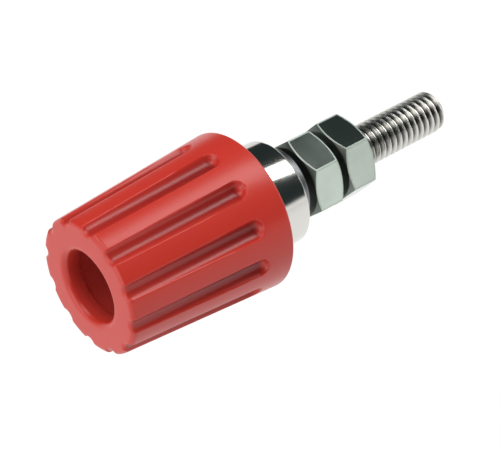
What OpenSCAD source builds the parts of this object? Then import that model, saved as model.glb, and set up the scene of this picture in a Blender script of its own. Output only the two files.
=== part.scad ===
// Panel-mount binding post: a fluted knob on a turned metal post, held in a
// panel by a split lock washer and two hexagon nuts on an M4 stud.
//
// Frame: the axis of the post is the Y axis, the knob points to -Y and the
// stud to +Y, and the origin is the centre of the face that meets the panel.

/* [Knob] */
// Diameter of the knob at its base, next to the collar
knob_base_d = 15; // [14:0.1:17]
// Diameter of the knob at its front face
knob_front_d = 12.5; // [12:0.1:13.5]
// Length of the knob along the axis
knob_len = 16.9; // [15.9:0.1:20]
// Travel of the knob from the collar to its stop on the post
knob_travel = 4; // [3:0.1:5]
// Gap left at that stop
stop_gap = 0.2; // [0.05:0.05:0.4]
// Radius of the rounded edge at the base
base_round = 0.8; // [0.3:0.1:1.5]
// Radius of the rounded edge at the front
front_round = 0.5; // [0.2:0.1:0.8]

/* [Flutes] */
// Number of flutes round the knob
flute_count = 12; // [6:1:14]
// Radius of the round bottom of a flute
flute_r = 1.2; // [0.9:0.05:1.4]
// Depth of a flute where it ends near the base
flute_depth_base = 0.55; // [0.3:0.05:0.7]
// Depth of a flute where it runs out through the front
flute_depth_front = 0.5; // [0.3:0.05:0.6]
// Plain length left between the base and the round end of a flute
flute_stop = 2.6; // [2:0.1:5]
// Direction of the first flute, from +X towards +Z
flute_turn = 27.7; // [0:0.1:60]

/* [Front hole] */
// Diameter of the hole in the front face
mouth_d = 6.6; // [5:0.1:6.6]
// Radius of the rounded lip of the hole
mouth_round = 0.6; // [0.2:0.1:1]
// Depth of the narrow part of the hole, lip included
mouth_len = 2; // [1.2:0.1:3]

/* [Threaded insert] */
// Outer diameter of the brass insert
insert_d = 8.6; // [8:0.1:9]
// Diameter of the insert's flange, which clamps the wire
insert_flange_d = 9.6; // [9.2:0.1:10.4]
// Thickness of the flange
insert_flange_len = 0.9; // [0.6:0.1:1.5]
// Radial clearance between the insert and the knob around it
insert_fit = 0.02; // [0.01:0.01:0.1]

/* [Post] */
// Diameter of the collar behind the knob
collar_d = 9.9; // [9:0.1:12]
// Length of the collar
collar_len = 3.8; // [2.5:0.1:6]
// Bevel on the collar's rear edge
collar_bevel = 0.25; // [0.1:0.05:0.5]
// Bevel on the collar's front edge
collar_front_bevel = 0.12; // [0.05:0.01:0.3]
// Outside diameter of the thread that carries the knob
post_thread_d = 5.9; // [5.6:0.1:6]
// Radial running clearance of the insert on that thread
post_thread_play = 0.05; // [0.02:0.01:0.1]
// Depth of the post's end behind the knob's front face
post_recess = 4.3; // [4.1:0.1:5]
// Diameter of the flared end that keeps the knob on the post
flare_d = 6.6; // [6.4:0.1:6.8]
// Length of the flared end
flare_len = 0.6; // [0.4:0.1:1]
// Radial clearance of the flared end inside the knob
flare_clear = 0.3; // [0.2:0.05:0.4]
// Gap between the knob's base and the collar when it is screwed down
knob_gap = 0.02; // [0.01:0.01:0.1]

/* [Sockets] */
// Diameter of the plug socket in the post
socket_d = 4; // [3.6:0.1:4.2]
// Distance from the panel face to the socket's bottom, drill point left out
socket_floor = 1.5; // [1.5:0.1:3]
// Chamfer at the mouth of the plug socket
socket_chamfer = 0.3; // [0.1:0.1:0.5]
// Angle of the drill point at the bottom of the socket
drill_angle = 118; // [112:1:140]
// Diameter of the cross hole for a bare wire
wire_hole_d = 2.2; // [1.5:0.1:2.6]
// Distance from the collar to the nearest edge of the cross hole
wire_hole_rise = 0.25; // [0.1:0.05:1]

/* [Stud] */
// Outside diameter of the stud's thread
stud_d = 4; // [3.5:0.1:4.5]
// Length of the stud behind the panel face
stud_len = 20.1; // [17:0.1:30]
// Chamfer on the stud's end
stud_chamfer = 0.5; // [0.2:0.1:0.8]

/* [Lock washer] */
// Width of the washer's section, in the radial direction
washer_width = 1.5; // [1:0.1:1.8]
// Thickness of the washer's section
washer_thick = 0.9; // [0.6:0.1:1.2]
// Height of the unloaded washer, from end to end
washer_height = 2.05; // [1.6:0.05:2.4]
// Radial clearance of the washer on the stud
washer_clear = 0.15; // [0.1:0.05:0.3]
// Angle left open at the washer's split
washer_split = 9; // [4:1:20]
// Direction of the split, from +X towards +Z
washer_turn = -65; // [-180:1:180]
// Gap between a fastener and what it lies against
seat_gap = 0.02; // [0.01:0.01:0.1]

/* [Nuts] */
// Width of a nut across its flats
nut_flats = 7; // [6.5:0.1:8]
// Thickness of a nut
nut_len = 3.2; // [2.2:0.1:3.6]
// Diameter of the round face left by a nut's 30 degree chamfer
nut_face_d = 6.88; // [6:0.02:6.9]
// Countersink at both ends of a nut's thread
nut_countersink = 0.3; // [0.1:0.05:0.5]
// Radial running clearance of a nut on the stud
nut_play = 0.05; // [0.02:0.01:0.1]
// Direction of one corner of the mounting nut, from +X towards +Z
mounting_nut_turn = 43.2; // [0:0.1:60]
// Direction of one corner of the connection nut, from +X towards +Z
connection_nut_turn = 50.7; // [0:0.1:60]
// Gap between the two nuts
nut_gap = 0.75; // [0.3:0.05:3]

/* [Hidden] */

$fn = 48;                 // facets of a circle in a preview
ARC_STEPS = 8;            // straight steps in the arc of a rounded edge
WASHER_STEPS = 60;        // straight steps round the lock washer
OVER = 0.1;               // how far a cutter runs past what it cuts
NUT_CHAMFER_ANGLE = 30;   // chamfer on a nut's corners

// knob: the side is a cone, and both edges are tangent arcs
knob_base_r = knob_base_d / 2;
knob_front_r = knob_front_d / 2;
taper = atan((knob_base_r - knob_front_r) / knob_len);
mouth_r = mouth_d / 2;

// flute: a ball and a tilted cylinder cut each flute
flute_end_half = sqrt(pow(flute_r, 2) - pow(flute_r - flute_depth_base, 2));
flute_h = flute_stop + flute_end_half;
flute_base_x = knob_r_at(flute_h) - flute_depth_base + flute_r;
flute_front_x = knob_front_r - flute_depth_front + flute_r;
flute_tilt = atan((flute_front_x - flute_base_x) / (knob_len - flute_h));
flute_cut_len = (knob_len - flute_h) / cos(flute_tilt) + flute_r;

// post, with all places measured forwards from the panel face
knob_at = collar_len + knob_gap;
post_end = knob_at + knob_len - post_recess;
post_r = post_thread_d / 2;
flare_r = flare_d / 2;
socket_r = socket_d / 2;
socket_tip = socket_r / tan(drill_angle / 2);
wire_hole_at = collar_len + wire_hole_rise + wire_hole_d / 2;

// inside of the knob, measured forwards from its base
insert_seat_r = insert_d / 2 + insert_fit;
flange_seat_r = insert_flange_d / 2 + insert_fit;
chamber_r = flare_r + flare_clear;
insert_bore_r = post_r + post_thread_play;
insert_len = post_end - flare_len - knob_travel - stop_gap - knob_at;

// fasteners, measured backwards from the panel face
stud_r = stud_d / 2;
nut_bore_r = stud_r + nut_play;
nut_corner_r = nut_flats / 2 / cos(30);
mounting_nut_at = washer_height;
connection_nut_at = mounting_nut_at + nut_len + nut_gap;
washer_in_r = stud_r + washer_clear;
washer_out_r = washer_in_r + washer_width;

KNOB_COLOR = [0.80, 0.15, 0.13];
NICKEL_COLOR = [0.74, 0.75, 0.72];
BRASS_COLOR = [0.80, 0.64, 0.32];
STEEL_COLOR = [0.42, 0.43, 0.44];

// radius of the knob's cone at a height above its base
function knob_r_at(h) = knob_base_r - h * tan(taper);

// points on an arc, from angle a0 to a1
function arc_points(x, y, r, a0, a1) =
    [for (i = [0:ARC_STEPS])
        let (a = a0 + (a1 - a0) * i / ARC_STEPS)
        [x + r * cos(a), y + r * sin(a)]];

// centre of an edge round that touches the cone and a flat end at height h
function round_x(h, r) = knob_r_at(h) - r / cos(taper);

// stand what is drawn along +Z on the post's axis, pointing to the knob,
// with its foot at a distance in front of the panel face
module on_axis(at) {
    translate([0, -at, 0])
        rotate([90, 0, 0])
            children();
}

// the knob's outside, before the flutes are cut
module knob_outside() {
    rotate_extrude()
        polygon(concat(
            [[0, 0]],
            arc_points(round_x(base_round, base_round), base_round,
                       base_round, -90, taper),
            arc_points(round_x(knob_len - front_round, front_round),
                       knob_len - front_round, front_round, taper, 90),
            [[0, knob_len]]));
}

// a round-bottomed groove with a ball end near the base
module flute_cutter() {
    translate([flute_base_x, 0, flute_h])
        rotate([0, flute_tilt, 0]) {
            cylinder(r = flute_r, h = flute_cut_len);
            sphere(r = flute_r);
        }
}

// everything bored out of the knob, from the insert's seat to the mouth
module knob_inside() {
    flange_top = insert_flange_len + knob_gap;
    insert_top = insert_len + knob_gap;
    mouth_base = knob_len - mouth_len;
    rotate_extrude()
        polygon(concat(
            [[0, -OVER],
             [flange_seat_r, -OVER],
             [flange_seat_r, flange_top],
             [insert_seat_r, flange_top],
             [insert_seat_r, insert_top],
             [chamber_r, insert_top],
             [chamber_r, mouth_base],
             [mouth_r, mouth_base]],
            arc_points(mouth_r + mouth_round, knob_len - mouth_round,
                       mouth_round, 180, 90),
            [[mouth_r + mouth_round, knob_len + OVER],
             [0, knob_len + OVER]]));
}

// the moulded knob
module knob_cap() {
    color(KNOB_COLOR)
        on_axis(knob_at)
            difference() {
                knob_outside();
                for (i = [0:flute_count - 1])
                    rotate([0, 0, flute_turn + i * 360 / flute_count])
                        flute_cutter();
                knob_inside();
            }
}

// the threaded brass insert, whose flange clamps a wire on the collar
module knob_insert() {
    color(BRASS_COLOR)
        on_axis(knob_at)
            difference() {
                union() {
                    cylinder(d = insert_d, h = insert_len);
                    cylinder(d = insert_flange_d, h = insert_flange_len);
                }
                translate([0, 0, -OVER])
                    cylinder(r = insert_bore_r, h = insert_len + 2 * OVER);
            }
}

// outline of the stud
module stud_outline() {
    polygon([
        [0, -stud_len],
        [stud_r - stud_chamfer, -stud_len],
        [stud_r, -stud_len + stud_chamfer],
        [stud_r, 0],
        [0, 0]]);
}

// outline of the collar
module collar_outline() {
    polygon([
        [0, 0],
        [collar_d / 2 - collar_bevel, 0],
        [collar_d / 2, collar_bevel],
        [collar_d / 2, collar_len - collar_front_bevel],
        [collar_d / 2 - collar_front_bevel, collar_len],
        [0, collar_len]]);
}

// outline of the threaded tube with its flared end
module tube_outline() {
    polygon([
        [0, collar_len],
        [post_r, collar_len],
        [post_r, post_end - flare_len],
        [flare_r, post_end - flare_len],
        [flare_r, post_end],
        [0, post_end]]);
}

// outline of the drilled plug socket
module socket_outline() {
    polygon([
        [0, socket_floor - socket_tip],
        [socket_r, socket_floor],
        [socket_r, post_end - socket_chamfer],
        [socket_r + socket_chamfer, post_end],
        [socket_r + socket_chamfer, post_end + OVER],
        [0, post_end + OVER]]);
}

// The post is turned from one bar. It is drawn as three solids that meet face
// to face: the stud, the collar and the tube.
module post_stud() {
    color(NICKEL_COLOR)
        on_axis(0)
            rotate_extrude() stud_outline();
}

// the collar, with the bottom of the plug socket in it
module post_collar() {
    color(NICKEL_COLOR)
        on_axis(0)
            rotate_extrude()
                difference() {
                    collar_outline();
                    socket_outline();
                }
}

// the tube that takes a plug, with the cross hole for a bare wire
module post_tube() {
    color(NICKEL_COLOR)
        on_axis(0)
            difference() {
                rotate_extrude()
                    difference() {
                        tube_outline();
                        socket_outline();
                    }
                translate([0, 0, wire_hole_at])
                    rotate([0, 90, 0])
                        cylinder(d = wire_hole_d, h = 2 * flare_d, center = true);
            }
}

// corners of the washer's section at one step of its turn: it winds round the
// stud against the way a nut tightens, and rises from its panel end
function washer_section(i) =
    let (a = washer_turn + washer_split / 2 + (360 - washer_split) * i / WASHER_STEPS)
    let (rise = (washer_height - washer_thick - 2 * seat_gap) * i / WASHER_STEPS)
    let (z = -seat_gap - rise)
    [for (p = [[washer_in_r, z], [washer_out_r, z],
               [washer_out_r, z - washer_thick], [washer_in_r, z - washer_thick]])
        [p[0] * cos(a), p[0] * sin(a), p[1]]];

// the split lock washer, a single turn of square wire
module lock_washer() {
    points = [for (i = [0:WASHER_STEPS]) for (p = washer_section(i)) p];
    sides = [for (i = [0:WASHER_STEPS - 1]) for (k = [0:3])
        [4 * i + k, 4 * i + (k + 1) % 4, 4 * i + 4 + (k + 1) % 4, 4 * i + 4 + k]];
    last = 4 * WASHER_STEPS;
    ends = [[3, 2, 1, 0], [last, last + 1, last + 2, last + 3]];
    color(STEEL_COLOR)
        on_axis(0)
            polyhedron(points = points, faces = concat(sides, ends));
}

// a hexagon nut with its corners chamfered at both ends
module nut(turn) {
    cone_r = nut_corner_r + OVER;
    cone_rise = (cone_r - nut_face_d / 2) * tan(NUT_CHAMFER_ANGLE);
    sink_r = nut_bore_r + nut_countersink;
    difference() {
        intersection() {
            rotate([0, 0, turn])
                cylinder(r = nut_corner_r, h = nut_len, $fn = 6);
            rotate_extrude()
                polygon([
                    [0, 0],
                    [nut_face_d / 2, 0],
                    [cone_r, cone_rise],
                    [cone_r, nut_len - cone_rise],
                    [nut_face_d / 2, nut_len],
                    [0, nut_len]]);
        }
        rotate_extrude()
            polygon([
                [0, -OVER],
                [sink_r, -OVER],
                [sink_r, 0],
                [nut_bore_r, nut_countersink],
                [nut_bore_r, nut_len - nut_countersink],
                [sink_r, nut_len],
                [sink_r, nut_len + OVER],
                [0, nut_len + OVER]]);
    }
}

// the nut that clamps the post in its panel
module mounting_nut() {
    color(NICKEL_COLOR)
        on_axis(-mounting_nut_at - nut_len)
            nut(mounting_nut_turn);
}

// the nut that clamps a ring terminal
module connection_nut() {
    color(NICKEL_COLOR)
        on_axis(-connection_nut_at - nut_len)
            nut(connection_nut_turn);
}

post_stud();
post_collar();
post_tube();
knob_insert();
knob_cap();
lock_washer();
mounting_nut();
connection_nut();
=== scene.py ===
from contextlib import contextmanager
from math import atan, atan2, cos, degrees, hypot, pi, radians, sin, sqrt, tan

import bmesh
import bpy
from bpy.props import FloatProperty, FloatVectorProperty, IntProperty, PointerProperty
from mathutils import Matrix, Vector


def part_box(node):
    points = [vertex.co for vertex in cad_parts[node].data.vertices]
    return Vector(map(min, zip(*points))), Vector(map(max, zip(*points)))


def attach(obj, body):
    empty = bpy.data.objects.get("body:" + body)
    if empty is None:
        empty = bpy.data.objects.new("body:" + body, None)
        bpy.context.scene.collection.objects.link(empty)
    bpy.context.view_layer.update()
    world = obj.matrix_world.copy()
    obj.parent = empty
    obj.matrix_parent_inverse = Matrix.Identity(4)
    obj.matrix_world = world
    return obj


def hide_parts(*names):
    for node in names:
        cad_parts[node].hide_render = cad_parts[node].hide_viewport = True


bl_info = {
    "name": "Binding Post",
    "version": (1, 0, 0),
    "blender": (4, 5, 0),
    "location": "View3D > Sidebar > Binding Post",
    "description": "Builds a panel-mount binding post with its knob, stud, washer and nuts",
    "category": "Add Mesh",
}

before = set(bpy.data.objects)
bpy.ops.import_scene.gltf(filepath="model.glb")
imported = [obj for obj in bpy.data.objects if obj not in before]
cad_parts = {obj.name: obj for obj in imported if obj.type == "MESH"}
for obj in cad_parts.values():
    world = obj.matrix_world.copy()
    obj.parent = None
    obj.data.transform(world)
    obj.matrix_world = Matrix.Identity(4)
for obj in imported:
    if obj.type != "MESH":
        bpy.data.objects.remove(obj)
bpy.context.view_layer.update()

# Pieces are modelled in millimetres with the post's axis on Z and the knob
# upwards, with Z counted from the panel face. settle() puts them in the row.
MM = 1000
MERGE = 0.0005            # mm, points closer than this are one point
OVER = 0.5                # mm, how far a cutter runs past what it cuts
LATHE_STEPS = 128         # segments of a turned metal piece
THREAD_STEPS = 56         # segments in one turn of a thread
THREAD_DEPTH = 0.6134     # depth of a thread, as a share of its pitch
KNOB_STEPS = 720          # segments of the knob, enough to round the flutes' rims
FINE = 0.02               # mm, the smallest edge break
THREAD_R = 3.1            # mm, threads lie within this distance of the axis
STUD_ROOT = 1.6           # mm, radius at which the shade painted into the stud's grooves is darkest
STUD_CREST = 1.95         # mm, radius at which that painted shade ends
EDGE_WIDTH = 0.14         # mm, width of the lighter, rougher line along a nut's edges, a painted highlight
EDGE_TONE = 1.4           # how much lighter that line is, as a painted highlight
EDGE_BLUR = 3.5           # how much rougher that line is


# ---------------------------------------------------------------- frame sizes

def span(node):
    """Back and front of a CAD node along the post, and its radius, in mm."""
    low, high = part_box(node)
    return -high.y * MM, -low.y * MM, max(high.x, -low.x, high.z, -low.z) * MM


KNOB_BASE, KNOB_FRONT, _ = span("knob_cap")
KNOB_LENGTH = KNOB_FRONT - KNOB_BASE
INSERT_BASE, INSERT_TOP, FLANGE_R = span("knob_insert")
STUD_TIP = span("post_stud")[0]
_, COLLAR_FRONT, COLLAR_R = span("post_collar")
POST_END = span("post_tube")[1]
WASHER_BACK, WASHER_FRONT, WASHER_R = span("lock_washer")
NUT_SPANS = {node: span(node)[:2] for node in ("mounting_nut", "connection_nut")}


# ------------------------------------------------------------------- settings

def size(name, description, default):
    """A length property in metres, from a default in millimetres."""
    return FloatProperty(name=name, description=description, default=default / MM,
                         min=0, precision=5, subtype="DISTANCE", unit="LENGTH")


def angle(name, description, default):
    """An angle property, from a default in degrees."""
    return FloatProperty(name=name, description=description, default=radians(default),
                         subtype="ANGLE", unit="ROTATION")


def share(name, description, default):
    """A plain number between 0 and 1."""
    return FloatProperty(name=name, description=description, default=default, min=0, max=1)


def colour(name, description, default):
    """A linear colour property."""
    return FloatVectorProperty(name=name, description=description, default=default,
                               size=3, min=0, max=1, subtype="COLOR")


class BindingPostKnob(bpy.types.PropertyGroup):
    """Sizes and colour of the moulded knob."""

    base_diameter: size("Base Diameter", "Diameter of the cone at its base", 14.95)
    front_diameter: size("Front Diameter", "Diameter of the cone at its front face", 12.5)
    base_round: size("Base Round", "Radius of the edge at the base", 0.25)
    base_dish: size("Base Dish", "How far the base's edge lies ahead of its seat", 0.33)
    front_round: size("Front Round", "Radius of the edge at the front", 0.5)
    mouth_diameter: size("Mouth Diameter", "Diameter of the hole in the front", 6.6)
    mouth_round: size("Mouth Round", "Radius of the hole's rounded lip", 0.6)
    mouth_length: size("Mouth Length", "Depth of the narrow part of the hole", 1.7)
    chamber_diameter: size("Chamber Diameter", "Diameter behind the narrow part", 7.2)
    flutes: IntProperty(name="Flutes", description="Number of flutes", default=12, min=3)
    flute_radius: size("Flute Radius", "Radius of a flute's round bottom", 0.95)
    flute_depth_base: size("Flute Depth at Base", "Depth next to a flute's round end", 0.72)
    flute_depth_front: size("Flute Depth at Front", "Depth where a flute runs out", 0.36)
    flute_stop: size("Flute Stop", "Plain length between base and flutes", 3)
    flute_turn: angle("Flute Turn", "Direction of the first flute", 27)
    rim_round: size("Rim Round", "How softly the flutes' rims are rounded", 0.08)
    skin: colour("Plastic Colour", "Colour of the knob's plastic", (0.74, 0.045, 0.028))


class BindingPostMetal(bpy.types.PropertyGroup):
    """Sizes and colours of the metal pieces."""

    collar_round: size("Collar Round", "Radius of the collar's rear edge", 0.25)
    stud_diameter: size("Stud Diameter", "Outside diameter of the stud's thread", 4)
    stud_pitch: size("Stud Pitch", "Pitch of the stud's thread", 0.7)
    stud_chamfer: size("Stud Chamfer", "Chamfer on the stud's end", 0.5)
    post_diameter: size("Post Diameter", "Outside diameter of the knob's thread", 5.9)
    post_pitch: size("Post Pitch", "Pitch of the knob's thread", 1)
    socket_diameter: size("Socket Diameter", "Diameter of the plug socket", 4)
    socket_floor: size("Socket Floor", "Panel face to the socket's bottom", 1.5)
    wire_hole: size("Wire Hole", "Diameter of the cross hole", 2.2)
    wire_hole_rise: size("Wire Hole Rise", "Collar to the cross hole's edge", 0.25)
    flare_diameter: size("Flare Diameter", "Diameter of the post's flared end", 6.6)
    flare_length: size("Flare Length", "Length of the flared end", 0.6)
    insert_diameter: size("Insert Diameter", "Diameter of the brass insert", 8.6)
    insert_flange: size("Insert Flange", "Thickness of the insert's flange", 0.9)
    washer_width: size("Washer Width", "Width of the washer's section", 1.5)
    washer_thickness: size("Washer Thickness", "Thickness of the washer's section", 0.9)
    washer_split: angle("Washer Split", "Opening of the washer", 9)
    washer_turn: angle("Washer Turn", "Direction of the washer's split", -65)
    nut_flats: size("Nut Flats", "Width across a nut's flats", 7)
    nut_face: size("Nut Face", "Diameter of a nut's round face", 6.88)
    mounting_turn: angle("Mounting Nut Turn", "Direction of one corner", 43.2)
    connection_turn: angle("Connection Nut Turn", "Direction of one corner", 50.7)
    nickel: colour("Nickel Colour", "Colour of the plated post", (0.74, 0.73, 0.69))
    nut_plate: colour("Nut Colour", "Colour of the plated nuts", (0.62, 0.70, 0.63))
    steel: colour("Washer Colour", "Colour of the spring steel", (0.30, 0.31, 0.32))
    brass: colour("Brass Colour", "Colour of the bare brass", (0.80, 0.58, 0.26))


class BindingPostStage(bpy.types.PropertyGroup):
    """Camera, lamps and floor."""

    azimuth: angle("Azimuth", "Camera's direction round the object", 49.24)
    elevation: angle("Elevation", "Camera's height as an angle", 37.8)
    distance: size("Distance", "Camera to the point it looks at", 160.97)
    lens: FloatProperty(name="Lens", description="Focal length in mm", default=129.6, min=1)
    drop: size("Floor Drop", "Floor below the post's axis", 45)
    top: FloatProperty(name="Overhead Light", description="Power of the overhead softbox",
                       default=0.42, min=0, unit="POWER")
    key: FloatProperty(name="High Light", description="Power of the high softbox",
                       default=0.45, min=0, unit="POWER")
    front: FloatProperty(name="Front Light", description="Power of the softbox in front",
                         default=0.72, min=0, unit="POWER")
    rim: FloatProperty(name="Rear Light", description="Power of the strip behind",
                       default=0.17, min=0, unit="POWER")
    room: share("Room Light", "Brightness of the room round the object", 0.26)


# ------------------------------------------------------------ modelling tools

def start(name, add, **settings):
    """Adds a primitive with nothing else selected, and names it."""
    bpy.ops.object.select_all(action="DESELECT")
    add(**settings)
    piece = bpy.context.object
    piece.name = name
    piece.data.name = name
    return piece


def choose(piece):
    """Makes a piece the only selected and active object."""
    bpy.ops.object.select_all(action="DESELECT")
    piece.select_set(True)
    bpy.context.view_layer.objects.active = piece


@contextmanager
def edit_mode(piece):
    """Edits a piece's mesh with all of it selected."""
    choose(piece)
    bpy.ops.object.mode_set(mode="EDIT")
    bpy.ops.mesh.select_all(action="SELECT")
    yield
    bpy.ops.object.mode_set(mode="OBJECT")


def finish_with(piece, kind, **settings):
    """Adds a modifier, sets it and applies it."""
    choose(piece)
    bpy.ops.object.modifier_add(type=kind)
    modifier = piece.modifiers[-1]
    for name, value in settings.items():
        setattr(modifier, name, value)
    bpy.ops.object.modifier_apply(modifier=modifier.name)
    return piece


def combine(piece, other, operation):
    """Joins, cuts or trims a piece with another solid, which is used up."""
    finish_with(piece, "BOOLEAN", object=other, operation=operation, solver="EXACT")
    bpy.data.objects.remove(other)
    return piece


def place(piece, at=0.0, turn=0.0):
    """Moves a piece along its axis, turns it round it and applies both."""
    choose(piece)
    piece.location.z += at
    piece.rotation_euler.z += turn
    bpy.ops.object.transform_apply(location=True, rotation=True, scale=True)
    return piece


def settle(piece, sharp):
    """Cleans a piece, lays it along the row's -Y axis in metres and smooths it."""
    with edit_mode(piece):
        bpy.ops.mesh.remove_doubles(threshold=MERGE / 10)
        bpy.ops.mesh.dissolve_degenerate(threshold=MERGE / 10)
    choose(piece)
    piece.rotation_euler = (pi / 2, 0, 0)
    piece.scale = (1 / MM, 1 / MM, 1 / MM)
    bpy.ops.object.transform_apply(location=True, rotation=True, scale=True)
    bpy.ops.object.shade_smooth_by_angle(angle=radians(sharp))
    return piece


def arc(centre, radius, first, last, steps):
    """Points of an arc in an outline, from one angle to another in degrees."""
    turns = [radians(first + (last - first) * i / steps) for i in range(steps + 1)]
    return [(centre[0] + radius * cos(t), centre[1] + radius * sin(t)) for t in turns]


def broken_corner(before, corner, after, radius, steps=3):
    """Points that round one corner of an outline."""
    corner = Vector(corner)
    to_before = (Vector(before) - corner).normalized()
    to_after = (Vector(after) - corner).normalized()
    half = to_before.angle(to_after) / 2
    reach = radius / tan(half)
    middle = corner + (to_before + to_after).normalized() * radius / sin(half)
    first = corner + to_before * reach - middle
    last = corner + to_after * reach - middle
    return [tuple(middle + first.slerp(last, i / steps) * radius) for i in range(steps + 1)]


def soften(points, radius):
    """An outline with every corner off the axis rounded by the same small radius."""
    softened = [points[0]]
    for before, corner, after in zip(points, points[1:], points[2:]):
        softened += broken_corner(before, corner, after, radius)
    return softened + [points[-1]]


def draw(name, points):
    """A line through (radius, height) points, drawn one after another."""
    radius, height = points[0]
    line = start(name, bpy.ops.mesh.primitive_plane_add, size=FINE,
                 location=(radius, 0, height))
    place(line)
    with edit_mode(line):
        bpy.ops.mesh.merge(type="CENTER")
        for here, there in zip(points, points[1:]):
            step = (there[0] - here[0], 0, there[1] - here[1])
            bpy.ops.mesh.extrude_vertices_move(TRANSFORM_OT_translate={"value": step})
    return line


def lathe(name, outline, steps=LATHE_STEPS, closed=False):
    """Draws an outline of (radius, height) points and turns it into a solid."""
    piece = draw(name, outline)
    with edit_mode(piece):
        if closed:
            bpy.ops.mesh.remove_doubles(threshold=MERGE)
        bpy.ops.mesh.spin(steps=steps, angle=2 * pi, center=(0, 0, 0), axis=(0, 0, 1))
        bpy.ops.mesh.select_all(action="SELECT")
        bpy.ops.mesh.remove_doubles(threshold=MERGE)
        bpy.ops.mesh.normals_make_consistent(inside=False)
    return piece


def threaded_rod(name, radius, pitch, low, high):
    """A right-hand threaded rod that runs past both ends, closed by cones."""
    root = radius - THREAD_DEPTH * pitch
    middle, crest_half, flank = pitch / 2, pitch / 16, 5 * pitch / 16
    half_tooth = [
        (root, middle),
        (root, crest_half + flank),
        (radius - 0.06 * pitch, crest_half + 0.03 * pitch),
        (radius, crest_half - 0.01 * pitch),
    ]
    tooth = [(r, middle - off) for r, off in half_tooth]
    tooth += [(r, middle + off) for r, off in reversed(half_tooth)]
    turns = int((high - low) / pitch) + 3
    rod = draw(name, tooth)
    finish_with(rod, "SCREW", angle=2 * pi, screw_offset=pitch, iterations=turns,
                steps=THREAD_STEPS, render_steps=THREAD_STEPS, use_merge_vertices=False)
    close_rod(rod, pitch, turns * pitch)
    return place(rod, at=low - pitch)


def close_rod(rod, pitch, length):
    """Closes the two open ends of a thread with a cone over each."""
    with edit_mode(rod):
        bpy.ops.mesh.remove_doubles(threshold=MERGE)
        for near, tip in ((-1, -pitch), (1, length + 2 * pitch)):
            bpy.ops.mesh.select_all(action="DESELECT")
            mesh = bmesh.from_edit_mesh(rod.data)
            for edge in mesh.edges:
                height = sum(v.co.z for v in edge.verts) / 2
                edge.select_set(edge.is_boundary and (height - length / 2) * near > 0)
            mesh.select_flush(True)
            bmesh.update_edit_mesh(rod.data)
            bpy.ops.mesh.extrude_region_move()
            bpy.ops.mesh.merge(type="CENTER")
            mesh = bmesh.from_edit_mesh(rod.data)
            for vertex in mesh.verts:
                if vertex.select:
                    vertex.co = (0, 0, tip)
            bmesh.update_edit_mesh(rod.data)
        bpy.ops.mesh.select_all(action="SELECT")
        bpy.ops.mesh.normals_make_consistent(inside=False)


def thread_cutter(name, radius, depth, pitch, low, high, sink):
    """A threaded plug with a countersink at each end, to cut a tapped hole."""
    rod = threaded_rod(name, radius + depth, pitch, low - OVER, high + OVER)
    envelope = lathe(name + "_envelope", [
        (0, low - OVER), (radius + depth, low - OVER),
        (radius + depth, high + OVER), (0, high + OVER)])
    combine(rod, envelope, "INTERSECT")
    core = lathe(name + "_core", [
        (0, low - OVER), (radius + sink + OVER, low - OVER), (radius, low + sink),
        (radius, high - sink), (radius + sink + OVER, high + OVER), (0, high + OVER)])
    return combine(rod, core, "UNION")


# --------------------------------------------------------------------- shapes

def knob_cone(k):
    """Radius of the knob's cone at a height above its base, as a function."""
    base_r = k.base_diameter * MM / 2
    slope = (k.base_diameter - k.front_diameter) * MM / 2 / KNOB_LENGTH
    return lambda height: base_r - slope * height


def mouth_base(k):
    """Height above the knob's base where the hole's narrow part begins, in mm."""
    return KNOB_LENGTH - k.mouth_length * MM


def flute_line(k):
    """Height and distance of a flute's round end, and its slope along the knob."""
    cone = knob_cone(k)
    radius = k.flute_radius * MM
    end_half = sqrt(radius ** 2 - (radius - k.flute_depth_base * MM) ** 2)
    height = k.flute_stop * MM + end_half
    near = cone(height) - k.flute_depth_base * MM + radius
    far = cone(KNOB_LENGTH) - k.flute_depth_front * MM + radius
    return height, near, (far - near) / (KNOB_LENGTH - height)


def flute_press(k):
    """How far the flutes press the knob's side in, by height and angle."""
    cone = knob_cone(k)
    radius = k.flute_radius * MM
    rim = k.rim_round * MM
    end_height, near, slope = flute_line(k)
    pitch = 2 * pi / k.flutes

    def press(height, turn):
        across = (turn - k.flute_turn + pitch / 2) % pitch - pitch / 2
        centre = near + slope * max(height - end_height, 0)
        reach = radius ** 2 - max(end_height - height, 0) ** 2
        inside = reach - (centre * sin(across)) ** 2
        if inside <= 0:
            return 0
        wall = centre * cos(across) - sqrt(inside)
        overlap = cone(height) - wall
        blend = max(rim - abs(overlap), 0)
        return max(overlap, 0) + blend ** 2 / rim / 4

    return press


def side_rows(k):
    """Heights of the rings on the knob's side, close together at the flutes' round ends."""
    tip, end = k.flute_stop * MM, flute_line(k)[0]
    before, past, fine_rows, long_rows = 0.2, 0.3, 18, 12
    fine_step = (end - tip + before) / fine_rows
    straight = KNOB_LENGTH - k.front_round * MM - end - 0.4
    rows = [tip - past, tip - before]
    rows += [tip + (i - 1) * fine_step for i in range(fine_rows + 1)]
    return rows + [end + past + straight * i / long_rows for i in range(long_rows)]


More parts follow.
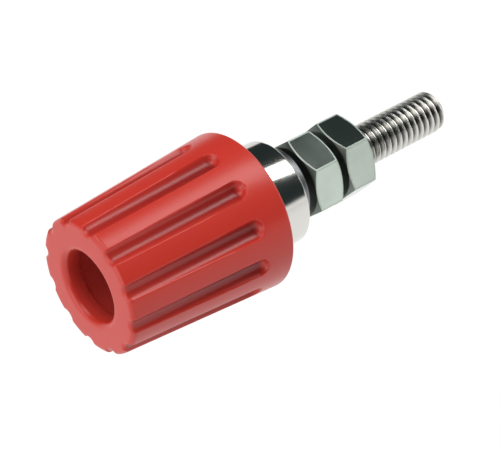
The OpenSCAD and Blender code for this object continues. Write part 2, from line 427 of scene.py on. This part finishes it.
def knob_outline(k):
    """Section of the knob, from its seat round the outside and back to the seat."""
    cone = knob_cone(k)
    taper = degrees(atan(cone(0) - cone(1)))
    lean = cos(radians(taper))
    dish, base_round, front_round = k.base_dish * MM, k.base_round * MM, k.front_round * MM
    mouth_r, mouth_round = k.mouth_diameter * MM / 2, k.mouth_round * MM
    chamber_r, shoulder = k.chamber_diameter * MM / 2, mouth_base(k)
    lip = mouth_r + mouth_round
    flange_seat = FLANGE_R + FINE
    insert_seat = scene_metal().insert_diameter * MM / 2 + FINE
    flange_top = scene_metal().insert_flange * MM + FINE
    insert_top = INSERT_TOP - KNOB_BASE + FINE
    base_centre = cone(dish + base_round) - base_round / lean
    front_centre = cone(KNOB_LENGTH - front_round) - front_round / lean
    seat_edge, bore_edge = 0.12, 0.1
    base_rings, face_rings, arc_steps = 4, 6, 10

    outline = [(flange_seat, seat_edge), (flange_seat + seat_edge, 0)]
    outline += [(flange_seat + (base_centre - flange_seat) * i / base_rings,
                 dish * i / base_rings) for i in range(1, base_rings)]
    outline += arc((base_centre, dish + base_round), base_round, -90, taper, arc_steps)
    outline += [(cone(height), height) for height in side_rows(k)]
    outline += arc((front_centre, KNOB_LENGTH - front_round), front_round, taper, 90, arc_steps)
    outline += [(front_centre + (lip - front_centre) * i / face_rings, KNOB_LENGTH)
                for i in range(1, face_rings)]
    outline += arc((lip, KNOB_LENGTH - mouth_round), mouth_round, 90, 180, arc_steps)
    outline += [(mouth_r, shoulder + bore_edge), (mouth_r + bore_edge, shoulder),
                (chamber_r - bore_edge, shoulder), (chamber_r, shoulder - bore_edge),
                (chamber_r, insert_top), (insert_seat, insert_top),
                (insert_seat, flange_top), (flange_seat, flange_top)]
    return outline + outline[:1]


def fluted_knob(k):
    """The moulded knob: a turned blank with its flutes pressed in."""
    knob = lathe("knob", knob_outline(k), steps=KNOB_STEPS, closed=True)
    cone = knob_cone(k)
    press = flute_press(k)
    front_round = k.front_round * MM
    lip = (k.mouth_diameter / 2 + k.mouth_round) * MM
    edge = cone(KNOB_LENGTH - front_round) - front_round
    with edit_mode(knob):
        mesh = bmesh.from_edit_mesh(knob.data)
        for vertex in mesh.verts:
            x, y, height = vertex.co
            radius = hypot(x, y)
            if height > KNOB_LENGTH - MERGE:
                weight = min(max((radius - lip) / (edge - lip), 0), 1)
            else:
                weight = 1 if radius > cone(height) - front_round - FINE else 0
            if weight:
                pressed = radius - weight * press(height, atan2(y, x))
                vertex.co.xy *= pressed / radius
        bmesh.update_edit_mesh(knob.data)
    return place(knob, at=KNOB_BASE)


def brass_insert(m):
    """The threaded insert with the flange that clamps a wire."""
    edge, play, thread_depth, sink = 0.08, 0.05, 0.3, 0.35
    body_r = m.insert_diameter * MM / 2
    flange = INSERT_BASE + m.insert_flange * MM
    insert = lathe("insert", soften([
        (0, INSERT_BASE), (FLANGE_R, INSERT_BASE), (FLANGE_R, flange),
        (body_r, flange), (body_r, INSERT_TOP), (0, INSERT_TOP)], edge))
    cutter = thread_cutter("insert_cutter", m.post_diameter * MM / 2 + play, thread_depth,
                           m.post_pitch * MM, INSERT_BASE, INSERT_TOP, sink)
    return combine(insert, cutter, "DIFFERENCE")


def turned_post(m):
    """The post: a threaded stud, a collar and a threaded tube, all one piece."""
    post_r, flare_r = m.post_diameter * MM / 2, m.flare_diameter * MM / 2
    collar_round, collar_edge, edge = m.collar_round * MM, 0.12, 0.04
    flare_base = POST_END - m.flare_length * MM
    neck_r = post_r - 0.62 * m.post_pitch * MM
    post = lathe("post", soften([
        (0, 0), *arc((COLLAR_R - collar_round, collar_round), collar_round, -90, 0, 4),
        (COLLAR_R, COLLAR_FRONT - collar_edge), (COLLAR_R - collar_edge, COLLAR_FRONT),
        (neck_r, COLLAR_FRONT), (neck_r, flare_base),
        (flare_r, flare_base), (flare_r, POST_END), (0, POST_END)], edge), steps=192)
    combine(post, threaded_stud(m), "UNION")
    combine(post, threaded_tube(m, neck_r, flare_base), "UNION")
    combine(post, plug_socket(m), "DIFFERENCE")
    return combine(post, cross_hole(m), "DIFFERENCE")


def threaded_stud(m):
    """The stud with its chamfered tip, rooted in the collar."""
    radius, chamfer, root = m.stud_diameter * MM / 2, m.stud_chamfer * MM, 1
    stud = threaded_rod("stud", radius, m.stud_pitch * MM, STUD_TIP, root)
    return combine(stud, lathe("stud_envelope", [
        (0, STUD_TIP), (radius - chamfer, STUD_TIP), (radius + FINE, STUD_TIP + chamfer),
        (radius + FINE, root), (0, root)]), "INTERSECT")


def threaded_tube(m, neck_r, flare_base):
    """The knob's thread, which fades into a plain neck at both ends."""
    outer_r = m.post_diameter * MM / 2 + FINE
    tube = threaded_rod("tube", outer_r - FINE, m.post_pitch * MM, COLLAR_FRONT, flare_base)
    return combine(tube, lathe("tube_envelope", [
        (0, COLLAR_FRONT - 0.5), (neck_r + FINE, COLLAR_FRONT + 0.2),
        (outer_r, COLLAR_FRONT + 0.9), (outer_r, flare_base - 0.6),
        (neck_r, flare_base - 0.1), (0, flare_base)]), "INTERSECT")


def plug_socket(m):
    """The drilled hole for a plug, as a cutter."""
    radius, floor, sink = m.socket_diameter * MM / 2, m.socket_floor * MM, 0.3
    drill_point = 0.6 * radius
    return lathe("socket", [
        (0, floor - drill_point), (radius, floor), (radius, POST_END - sink),
        (radius + sink, POST_END), (radius + sink + OVER, POST_END + OVER),
        (0, POST_END + OVER)], steps=96)


def cross_hole(m):
    """The hole for a bare wire, as a cutter right through the post."""
    radius = m.wire_hole * MM / 2
    centre = COLLAR_FRONT + m.wire_hole_rise * MM + radius
    return place(start("wire_hole", bpy.ops.mesh.primitive_cylinder_add, vertices=48,
                       radius=radius, depth=2 * m.post_diameter * MM,
                       location=(0, 0, centre), rotation=(0, pi / 2, 0)))


def spring_washer(m):
    """A single turn of square wire, sprung open at its split."""
    width, thick = m.washer_width * MM, m.washer_thickness * MM
    wire_round, end_bevel, steps = 0.1, 0.04, 120
    inner, outer = WASHER_R - width, WASHER_R
    corners = [(inner, -thick), (outer, -thick), (outer, 0), (inner, 0)]
    section = []
    for i, corner in enumerate(corners):
        section += broken_corner(corners[i - 1], corner, corners[(i + 1) % 4], wire_round)
    washer = draw("washer", section + section[:1])
    with edit_mode(washer):
        bpy.ops.mesh.remove_doubles(threshold=MERGE)
    finish_with(washer, "SCREW", angle=2 * pi - m.washer_split,
                screw_offset=thick - (WASHER_FRONT - WASHER_BACK),
                steps=steps, render_steps=steps)
    with edit_mode(washer):
        bpy.ops.mesh.remove_doubles(threshold=MERGE)
        bpy.ops.mesh.fill_holes(sides=0)
        bpy.ops.mesh.normals_make_consistent(inside=False)
    finish_with(washer, "BEVEL", width=end_bevel, segments=2, limit_method="ANGLE",
                angle_limit=radians(50))
    return place(washer, at=WASHER_FRONT, turn=m.washer_turn + m.washer_split / 2)


def hexagon_nut(m, name, turn):
    """A tapped hexagon nut with its corners chamfered at both ends."""
    low, high = NUT_SPANS[name]
    flats_r, face_r = m.nut_flats * MM / 2, m.nut_face * MM / 2
    corner_r = flats_r / cos(pi / 6)
    corner_bevel, edge_bevel, play, thread_depth, sink = 0.15, 0.1, 0.04, 0.22, 0.3
    depth = high - low
    nut = place(start(name + "_look", bpy.ops.mesh.primitive_cylinder_add, vertices=6,
                      radius=corner_r, depth=depth, location=(0, 0, (low + high) / 2)))
    place(nut, turn=turn - pi / 6)
    with edit_mode(nut):
        mesh = bmesh.from_edit_mesh(nut.data)
        for edge in mesh.edges:
            first, last = edge.verts
            edge.select_set(abs(first.co.z - last.co.z) > depth / 2)
        mesh.select_flush(False)
        bpy.ops.mesh.bevel(offset=corner_bevel, segments=4)
    wide_r = corner_r + 0.3
    cone_rise = (wide_r - face_r) * tan(pi / 6)
    combine(nut, lathe("nut_envelope", [
        (0, low), (face_r, low), (wide_r, low + cone_rise),
        (wide_r, high - cone_rise), (face_r, high), (0, high)], steps=96), "INTERSECT")
    finish_with(nut, "BEVEL", width=edge_bevel, segments=4, limit_method="ANGLE",
                angle_limit=radians(22), use_clamp_overlap=True)
    cutter = thread_cutter(name + "_cutter", m.stud_diameter * MM / 2 + play, thread_depth,
                           m.stud_pitch * MM, low, high, sink)
    return combine(nut, cutter, "DIFFERENCE")


# ------------------------------------------------------------------ materials

def node_group(name, inputs, outputs):
    """An empty shader node group with named number inputs and outputs."""
    group = bpy.data.node_groups.new(name, "ShaderNodeTree")
    for label, default in inputs:
        socket = group.interface.new_socket(name=label, in_out="INPUT",
                                            socket_type="NodeSocketFloat")
        socket.default_value = default
    for label in outputs:
        group.interface.new_socket(name=label, in_out="OUTPUT", socket_type="NodeSocketFloat")
    nodes = group.nodes
    return group, nodes.new("NodeGroupInput"), nodes.new("NodeGroupOutput")


def add_node(tree, kind, settings=None, **inputs):
    """Adds a node, sets its fields, and fills or links its inputs by name."""
    node = tree.nodes.new(kind)
    for field, value in (settings or {}).items():
        setattr(node, field, value)
    for label, value in inputs.items():
        socket = pick_input(node, label)
        if isinstance(value, bpy.types.NodeSocket):
            tree.links.new(value, socket)
        else:
            socket.default_value = value
    return node


def pick_input(node, label):
    """An input by its name with underscores for spaces, or by a number after an x."""
    if label[0] == "x" and label[1:].isdigit():
        return node.inputs[int(label[1:])]
    return node.inputs[label.replace("_", " ")]


def maths(tree, operation, first, second=0.0, clamp=False):
    """A Math node's result."""
    node = add_node(tree, "ShaderNodeMath", {"operation": operation, "use_clamp": clamp},
                    x0=first, x1=second)
    return node.outputs[0]


def object_position(tree):
    """Object coordinates, split: across, along the post and up, in metres."""
    place_node = add_node(tree, "ShaderNodeTexCoord")
    parts = add_node(tree, "ShaderNodeSeparateXYZ", Vector=place_node.outputs["Object"])
    return place_node.outputs["Object"], parts.outputs


def axis_distance(tree, parts):
    """Distance from the post's axis."""
    return maths(tree, "SQRT", maths(tree, "ADD", maths(tree, "MULTIPLY", parts[0], parts[0]),
                                     maths(tree, "MULTIPLY", parts[2], parts[2])))


def facing_along(tree):
    """How far the surface faces along the post's axis, 0 for a side and 1 for an end."""
    facing = add_node(tree, "ShaderNodeTexCoord")
    parts = add_node(tree, "ShaderNodeSeparateXYZ", Vector=facing.outputs["Normal"]).outputs
    return maths(tree, "ABSOLUTE", parts[1])


def turning_marks():
    """Rings left by the lathe, fine as a height and broad as a tone."""
    group, entry, result = node_group("turning marks", [("Rings per mm", 6.0)],
                                      ["Height", "Tone"])
    _, parts = object_position(group)
    radius = axis_distance(group, parts)
    rings = maths(group, "MULTIPLY", entry.outputs[0], MM)
    path = add_node(group, "ShaderNodeCombineXYZ",
                    X=maths(group, "MULTIPLY", radius, rings),
                    Y=maths(group, "MULTIPLY", parts[1], rings))
    fine = add_node(group, "ShaderNodeTexNoise", Vector=path.outputs[0], Scale=1.0, Detail=3.0)
    broad = add_node(group, "ShaderNodeTexNoise", Vector=path.outputs[0], Scale=0.13, Detail=1.0)
    group.links.new(fine.outputs[0], result.inputs["Height"])
    group.links.new(broad.outputs[0], result.inputs["Tone"])
    return group


def handling_marks():
    """Faint smudges and hairline scratches: two masks."""
    group, _, result = node_group("handling marks", [], ["Smudge", "Scratch"])
    place_socket, _ = object_position(group)
    smudge = add_node(group, "ShaderNodeTexNoise", Vector=place_socket, Scale=260.0, Detail=4.0,
                      Roughness=0.6)
    stretched = add_node(group, "ShaderNodeMapping", Vector=place_socket)
    stretched.inputs["Rotation"].default_value = (0.5, 0.3, 0.9)
    stretched.inputs["Scale"].default_value = (5200, 420, 5200)
    hair = add_node(group, "ShaderNodeTexNoise", Vector=stretched.outputs[0], Scale=1.0,
                    Detail=2.0)
    line = add_node(group, "ShaderNodeMapRange", Value=hair.outputs[0], From_Min=0.62,
                    From_Max=0.74)
    group.links.new(smudge.outputs[0], result.inputs["Smudge"])
    group.links.new(line.outputs[0], result.inputs["Scratch"])
    return group


def bare_tree(owner):
    """The emptied node tree of a material or a world."""
    owner.use_nodes = True
    owner.node_tree.nodes.clear()
    return owner.node_tree


def new_material(name):
    """An empty material, with its tree, its shader and its output joined."""
    material = bpy.data.materials.new(name)
    tree = bare_tree(material)
    shader = tree.nodes.new("ShaderNodeBsdfPrincipled")
    output = tree.nodes.new("ShaderNodeOutputMaterial")
    tree.links.new(shader.outputs[0], output.inputs[0])
    return material, tree, shader


def use_group(tree, group, **inputs):
    """Places a node group in a material."""
    node = add_node(tree, "ShaderNodeGroup", {"node_tree": group})
    for label, value in inputs.items():
        node.inputs[label.replace("_", " ")].default_value = value
    return node.outputs


def set_colour(tree, shader, base, shade, mask):
    """Base colour that goes from one tone to another by a mask."""
    mix = add_node(tree, "ShaderNodeMix", {"data_type": "RGBA"}, x0=mask,
                   x6=(*base, 1), x7=(*shade, 1))
    tree.links.new(mix.outputs[2], shader.inputs["Base Color"])


def set_roughness(tree, shader, mask, low, high):
    """Roughness that a mask moves between two values."""
    spread = add_node(tree, "ShaderNodeMapRange", {"clamp": False}, Value=mask, To_Min=low,
                      To_Max=high)
    tree.links.new(spread.outputs[0], shader.inputs["Roughness"])


def set_bump(tree, shader, height, depth):
    """A bump of so many metres from a height of 0 to 1."""
    bump = add_node(tree, "ShaderNodeBump", Height=height, Distance=depth, Strength=1.0)
    tree.links.new(bump.outputs[0], shader.inputs["Normal"])


def weigh(tree, mask, weight):
    """A mask times a number."""
    return maths(tree, "MULTIPLY", mask, weight)


def flute_shade(tree, k, sunk):
    """A painted-shade mask that rises with depth below the cone, on the knob's side only."""
    hollow = maths(tree, "DIVIDE", sunk, k.flute_depth_base * MM, clamp=True)
    side = add_node(tree, "ShaderNodeMapRange", Value=facing_along(tree), From_Min=0.3,
                    From_Max=0.7, To_Min=1.0, To_Max=0.0)
    return maths(tree, "MULTIPLY", hollow, side.outputs[0])


def knob_plastic(k, marks):
    """Glossy moulded plastic, with shade painted low in the flutes, and dull inside the hole."""
    material, tree, shader = new_material("knob_red_plastic")
    place_socket, parts = object_position(tree)
    handled = use_group(tree, marks)
    cone = knob_cone(k)
    radius = maths(tree, "MULTIPLY", axis_distance(tree, parts), MM)
    height = maths(tree, "SUBTRACT", maths(tree, "MULTIPLY", parts[1], -MM), KNOB_BASE)
    surface = maths(tree, "SUBTRACT", cone(0), weigh(tree, height, cone(0) - cone(1)))
    sunk = maths(tree, "SUBTRACT", surface, radius)
    outside = maths(tree, "LESS_THAN", sunk, 2 * k.flute_depth_base * MM)
    # Painted shade: the plastic darkens deep in the flutes, where shade falls; smudges darken it
    # a little at random.
    flute = maths(tree, "MULTIPLY", flute_shade(tree, k, sunk), outside)
    mask = maths(tree, "ADD", flute, weigh(tree, handled[0], 0.15), clamp=True)
    skin = tuple(k.skin)
    shade = (skin[0] * 0.42, skin[1] * 0.3, skin[2] * 0.4)
    set_colour(tree, shader, skin, shade, mask)
    bore = maths(tree, "MAXIMUM", maths(tree, "LESS_THAN", radius, k.mouth_diameter * MM / 2),
                 maths(tree, "LESS_THAN", height, mouth_base(k)))
    bore = maths(tree, "SUBTRACT", bore, outside, clamp=True)
    set_roughness(tree, shader, maths(tree, "ADD", handled[0], weigh(tree, bore, 3)), 0.24, 0.36)
    grain = add_node(tree, "ShaderNodeTexNoise", Vector=place_socket, Scale=2600.0, Detail=2.0)
    set_bump(tree, shader, grain.outputs[0], 0.0000015)
    shader.inputs["IOR"].default_value = 1.53
    return material


def turned_metal(name, base, rough, rings, depth, cloud, turning, marks):
    """Plated or bare turned metal with lathe rings, smudges, hairlines and shade painted into
    the thread grooves.
    """
    material, tree, shader = new_material(name)
    ringed = use_group(tree, turning, Rings_per_mm=rings)
    handled = use_group(tree, marks)
    _, parts = object_position(tree)
    radius = axis_distance(tree, parts)
    # Painted shade: the colour darkens towards the stud's thread roots, by distance from the
    # axis.
    groove = add_node(tree, "ShaderNodeMapRange", Value=radius, From_Min=STUD_ROOT / MM,
                      From_Max=STUD_CREST / MM, To_Min=0.75, To_Max=0.0)
    tone = weigh(tree, maths(tree, "ADD", handled[0], ringed[1]), cloud)
    mask = maths(tree, "ADD", tone, groove.outputs[0], clamp=True)
    set_colour(tree, shader, tuple(base), tuple(c * 0.12 for c in base), mask)
    rubbed = maths(tree, "ADD", handled[0], weigh(tree, handled[1], 0.5), clamp=True)
    threads = maths(tree, "LESS_THAN", radius, THREAD_R / MM)
    set_roughness(tree, shader, maths(tree, "ADD", rubbed, threads), *rough)
    set_bump(tree, shader, ringed[0], depth)
    shader.inputs["Metallic"].default_value = 1
    return material


def nut_edges(m, tree, parts):
    """A mask that is 1 along a nut's corners and along the curved edges of its flats, where a
    highlight is painted.
    """
    (low, high), (other_low, other_high) = NUT_SPANS.values()
    middle = (low + high + other_low + other_high) / 4
    apart = abs(other_low + other_high - low - high) / 4
    flats_r, face_r = m.nut_flats * MM / 2, m.nut_face * MM / 2
    corner_r = flats_r / cos(pi / 6)
    radius = maths(tree, "MULTIPLY", axis_distance(tree, parts), MM)
    along = maths(tree, "MULTIPLY", parts[1], -MM)
    off_middle = maths(tree, "ABSOLUTE", maths(tree, "SUBTRACT", along, middle))
    off_centre = maths(tree, "ABSOLUTE", maths(tree, "SUBTRACT", off_middle, apart))
    from_end = maths(tree, "SUBTRACT", (high - low) / 2, off_centre)
    cone = weigh(tree, maths(tree, "SUBTRACT", radius, face_r), tan(pi / 6))
    curved = maths(tree, "LESS_THAN", maths(tree, "SUBTRACT", from_end, cone), EDGE_WIDTH)
    corner = maths(tree, "GREATER_THAN", radius, corner_r - EDGE_WIDTH / 2)
    outer = maths(tree, "GREATER_THAN", radius, flats_r - MERGE)
    return maths(tree, "MULTIPLY", maths(tree, "MAXIMUM", curved, corner), outer)


def pressed_metal(name, base, rough, grain_scale, depth, marks, nut=None):
    """Tumbled metal with a fine pebbled skin, painted shade on its ends and, on a nut, a painted
    highlight along its edges.
    """
    material, tree, shader = new_material(name)
    place_socket, parts = object_position(tree)
    handled = use_group(tree, marks)
    grain = add_node(tree, "ShaderNodeTexNoise", Vector=place_socket, Scale=grain_scale,
                     Detail=3.0)
    # Faces along the axis are made rougher and painted darker, as painted shade between the
    # parts.
    end_face = maths(tree, "GREATER_THAN", facing_along(tree), 0.75)
    mask = maths(tree, "ADD", weigh(tree, handled[0], 0.45), end_face, clamp=True)
    rubbed = maths(tree, "ADD", handled[0], weigh(tree, handled[1], 0.4), clamp=True)
    rubbed = maths(tree, "ADD", rubbed, weigh(tree, end_face, 2))
    if nut:
        # Painted highlight: along a nut's edges the colour lightens and the surface grows
        # rougher.
        side = maths(tree, "SUBTRACT", 1.0, end_face)
        edge = maths(tree, "MULTIPLY", nut_edges(nut, tree, parts), side)
        mask = maths(tree, "SUBTRACT", mask, weigh(tree, edge, EDGE_TONE))
        rubbed = maths(tree, "ADD", rubbed, weigh(tree, edge, EDGE_BLUR))
    set_colour(tree, shader, tuple(base), tuple(c * 0.3 for c in base), mask)
    set_roughness(tree, shader, rubbed, *rough)
    set_bump(tree, shader, maths(tree, "ADD", grain.outputs[0], handled[1]), depth)
    shader.inputs["Metallic"].default_value = 1
    return material


# ------------------------------------------------------------------ operators

def scene_knob():
    """The knob's settings."""
    return bpy.context.scene.binding_post_knob


def scene_metal():
    """The metal pieces' settings."""
    return bpy.context.scene.binding_post_metal


def scene_stage():
    """The stage's settings."""
    return bpy.context.scene.binding_post_stage


def shared(name, make):
    """A node group that is built the first time it is asked for."""
    return bpy.data.node_groups.get(name) or make()


def dress(piece, material, body, slot, *nodes):
    """Gives a piece its finish, its body and the CAD nodes that it stands for."""
    piece.data.materials.clear()
    piece.data.materials.append(material)
    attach(piece, body)
    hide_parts(*nodes)


class BINDINGPOST_OT_knob(bpy.types.Operator):
    """Model the fluted knob"""

    bl_idname = "binding_post.knob"
    bl_label = "Knob"

    def execute(self, context):
        k = scene_knob()
        knob = settle(fluted_knob(k), 50)
        marks = shared("handling marks", handling_marks)
        dress(knob, knob_plastic(k, marks), "knob", "knob_plastic", "knob_cap")
        return {"FINISHED"}


class BINDINGPOST_OT_insert(bpy.types.Operator):
    """Model the threaded brass insert"""

    bl_idname = "binding_post.insert"
    bl_label = "Insert"

    def execute(self, context):
        m = scene_metal()
        insert = settle(brass_insert(m), 30)
        brass = turned_metal("insert_bare_brass", m.brass, (0.22, 0.4), 5.0, 0.000004, 0.125,
                             shared("turning marks", turning_marks),
                             shared("handling marks", handling_marks))
        dress(insert, brass, "bush", "insert_brass", "knob_insert")
        return {"FINISHED"}


class BINDINGPOST_OT_post(bpy.types.Operator):
    """Model the turned post with its collar, stud and plug socket"""

    bl_idname = "binding_post.post"
    bl_label = "Post"

    def execute(self, context):
        m = scene_metal()
        post = settle(turned_post(m), 30)
        nickel = turned_metal("post_nickel_plate", m.nickel, (0.08, 0.2), 7.0, 0.0000012, 0.06,
                              shared("turning marks", turning_marks),
                              shared("handling marks", handling_marks))
        dress(post, nickel, "post", "nickel_plate", "post_stud", "post_collar", "post_tube")
        return {"FINISHED"}


class BINDINGPOST_OT_washer(bpy.types.Operator):
    """Model the split lock washer"""

    bl_idname = "binding_post.washer"
    bl_label = "Lock Washer"

    def execute(self, context):
        m = scene_metal()
        washer = settle(spring_washer(m), 40)
        steel = pressed_metal("washer_spring_steel", m.steel, (0.3, 0.5), 3800.0, 0.000006,
                              shared("handling marks", handling_marks))
        dress(washer, steel, "washer", "washer_steel", "lock_washer")
        return {"FINISHED"}


class BINDINGPOST_OT_nuts(bpy.types.Operator):
    """Model the two hexagon nuts"""

    bl_idname = "binding_post.nuts"
    bl_label = "Nuts"

    def execute(self, context):
        m = scene_metal()
        plate = pressed_metal("nut_nickel_plate", m.nut_plate, (0.12, 0.24), 2400.0, 0.0000015,
                              shared("handling marks", handling_marks), nut=m)
        for node, body, turn in (("mounting_nut", "inner_nut", m.mounting_turn),
                                 ("connection_nut", "outer_nut", m.connection_turn)):
            nut = settle(hexagon_nut(m, node, turn), 30)
            finish_with(nut, "WEIGHTED_NORMAL", mode="FACE_AREA", weight=100, keep_sharp=True)
            dress(nut, plate, body, "nut_plate", node)
        return {"FINISHED"}


# ---------------------------------------------------------------------- stage

def seen_white(tree):
    """1 for rays from the camera, from a reflection or through glass, else 0."""
    path = add_node(tree, "ShaderNodeLightPath")
    seen = maths(tree, "MAXIMUM", path.outputs["Is Camera Ray"], path.outputs["Is Glossy Ray"])
    return maths(tree, "MAXIMUM", seen, path.outputs["Is Transmission Ray"])


def floor_material():
    """A white floor that still takes a shadow."""
    material = bpy.data.materials.new("stage_white_floor")
    tree = bare_tree(material)
    seen = seen_white(tree)
    tone = maths(tree, "SUBTRACT", 0.8, maths(tree, "MULTIPLY", seen, 0.5))
    matt = add_node(tree, "ShaderNodeBsdfDiffuse",
                    Color=add_node(tree, "ShaderNodeCombineColor", x0=tone, x1=tone,
                                   x2=tone).outputs[0])
    glow = add_node(tree, "ShaderNodeEmission", Strength=maths(tree, "MULTIPLY", seen, 0.78))
    both = add_node(tree, "ShaderNodeAddShader", x0=matt.outputs[0], x1=glow.outputs[0])
    output = tree.nodes.new("ShaderNodeOutputMaterial")
    tree.links.new(both.outputs[0], output.inputs[0])
    return material


def room_light(stage):
    """The room: white to the camera, and dim above the horizon in reflections."""
    world = bpy.data.worlds.new("room")
    bpy.context.scene.world = world
    tree = bare_tree(world)
    path = add_node(tree, "ShaderNodeLightPath")
    direction = add_node(tree, "ShaderNodeTexCoord")
    parts = add_node(tree, "ShaderNodeSeparateXYZ", Vector=direction.outputs["Generated"])
    height = add_node(tree, "ShaderNodeMapRange", Value=parts.outputs[2], From_Min=0.06,
                      From_Max=0.14, To_Min=1.0, To_Max=0.03)
    tone = add_node(tree, "ShaderNodeMix", {"data_type": "FLOAT"},
                    x0=path.outputs["Is Glossy Ray"], x2=stage.room,
                    x3=height.outputs[0])
    tone = add_node(tree, "ShaderNodeMix", {"data_type": "FLOAT"},
                    x0=path.outputs["Is Camera Ray"], x2=tone.outputs[0], x3=1.0)
    dark = maths(tree, "LESS_THAN", tone.outputs[0], 0.2)
    tint = add_node(tree, "ShaderNodeMix", {"data_type": "RGBA"}, x0=dark,
                    x6=(1, 1, 1, 1), x7=(0.7, 1.0, 1.0, 1))
    background = add_node(tree, "ShaderNodeBackground", Color=tint.outputs[2],
                          Strength=tone.outputs[0])
    output = tree.nodes.new("ShaderNodeOutputWorld")
    tree.links.new(background.outputs[0], output.inputs[0])


def softbox(name, location, target, width, height, power):
    """An area lamp that looks at a point."""
    bpy.ops.object.light_add(type="AREA", location=location)
    lamp = bpy.context.object
    lamp.name = name
    lamp.data.shape = "RECTANGLE"
    lamp.data.size = width
    lamp.data.size_y = height
    lamp.data.energy = power
    lamp.visible_camera = False
    lamp.rotation_euler = (Vector(target) - lamp.location).to_track_quat("-Z", "Y").to_euler()


class BINDINGPOST_OT_stage(bpy.types.Operator):
    """Set up the camera, the lamps, the floor and the room"""

    bl_idname = "binding_post.stage"
    bl_label = "Stage"

    def execute(self, context):
        stage = scene_stage()
        scene = context.scene
        scene.view_settings.view_transform = "Standard"
        aim = Vector((0.00024, -0.00301, -0.00277))
        back = Vector((sin(stage.azimuth) * cos(stage.elevation),
                       -cos(stage.azimuth) * cos(stage.elevation), sin(stage.elevation)))
        bpy.ops.object.camera_add(location=aim + back * stage.distance)
        camera = context.object
        camera.rotation_euler = back.to_track_quat("Z", "Y").to_euler()
        camera.data.lens = stage.lens
        camera.data.sensor_width = 36
        camera.data.clip_start = 0.005
        scene.camera = camera
        floor = start("floor", bpy.ops.mesh.primitive_plane_add, size=3,
                      location=(0, 0, -stage.drop))
        floor.data.materials.append(floor_material())
        centre = (0, 0.004, 0)
        softbox("overhead_softbox", (0.045, 0.14, 0.26), centre, 0.13, 0.30, stage.top)
        softbox("high_softbox", (-0.06, -0.2, 0.36), centre, 0.25, 0.25, stage.key)
        softbox("front_softbox", (0, -0.45, 0.1), centre, 0.45, 0.3, stage.front)
        softbox("rear_softbox", (0, 0.4, 0.13), centre, 0.35, 0.08, stage.rim)
        room_light(stage)
        return {"FINISHED"}


class BINDINGPOST_PT_panel(bpy.types.Panel):
    """Lists the builders of the binding post"""

    bl_idname = "BINDINGPOST_PT_panel"
    bl_label = "Binding Post"
    bl_space_type = "VIEW_3D"
    bl_region_type = "UI"
    bl_category = "Binding Post"

    def draw(self, context):
        for operator in PIECES:
            self.layout.operator(operator.bl_idname)
        for settings in (scene_knob(), scene_metal(), scene_stage()):
            box = self.layout.box()
            for name in settings.__annotations__:
                box.prop(settings, name)


SETTINGS = (BindingPostKnob, BindingPostMetal, BindingPostStage)
PIECES = (BINDINGPOST_OT_stage, BINDINGPOST_OT_post, BINDINGPOST_OT_insert,
          BINDINGPOST_OT_knob, BINDINGPOST_OT_washer, BINDINGPOST_OT_nuts)


def register():
    for cls in SETTINGS + PIECES + (BINDINGPOST_PT_panel,):
        bpy.utils.register_class(cls)
    bpy.types.Scene.binding_post_knob = PointerProperty(type=BindingPostKnob)
    bpy.types.Scene.binding_post_metal = PointerProperty(type=BindingPostMetal)
    bpy.types.Scene.binding_post_stage = PointerProperty(type=BindingPostStage)


def unregister():
    del bpy.types.Scene.binding_post_knob
    del bpy.types.Scene.binding_post_metal
    del bpy.types.Scene.binding_post_stage
    for cls in reversed(SETTINGS + PIECES + (BINDINGPOST_PT_panel,)):
        bpy.utils.unregister_class(cls)


def main():
    """Builds every piece in order."""
    register()
    bpy.ops.binding_post.stage()
    bpy.ops.binding_post.post()
    bpy.ops.binding_post.insert()
    bpy.ops.binding_post.knob()
    bpy.ops.binding_post.washer()
    bpy.ops.binding_post.nuts()


if __name__ == "__main__":
    main()
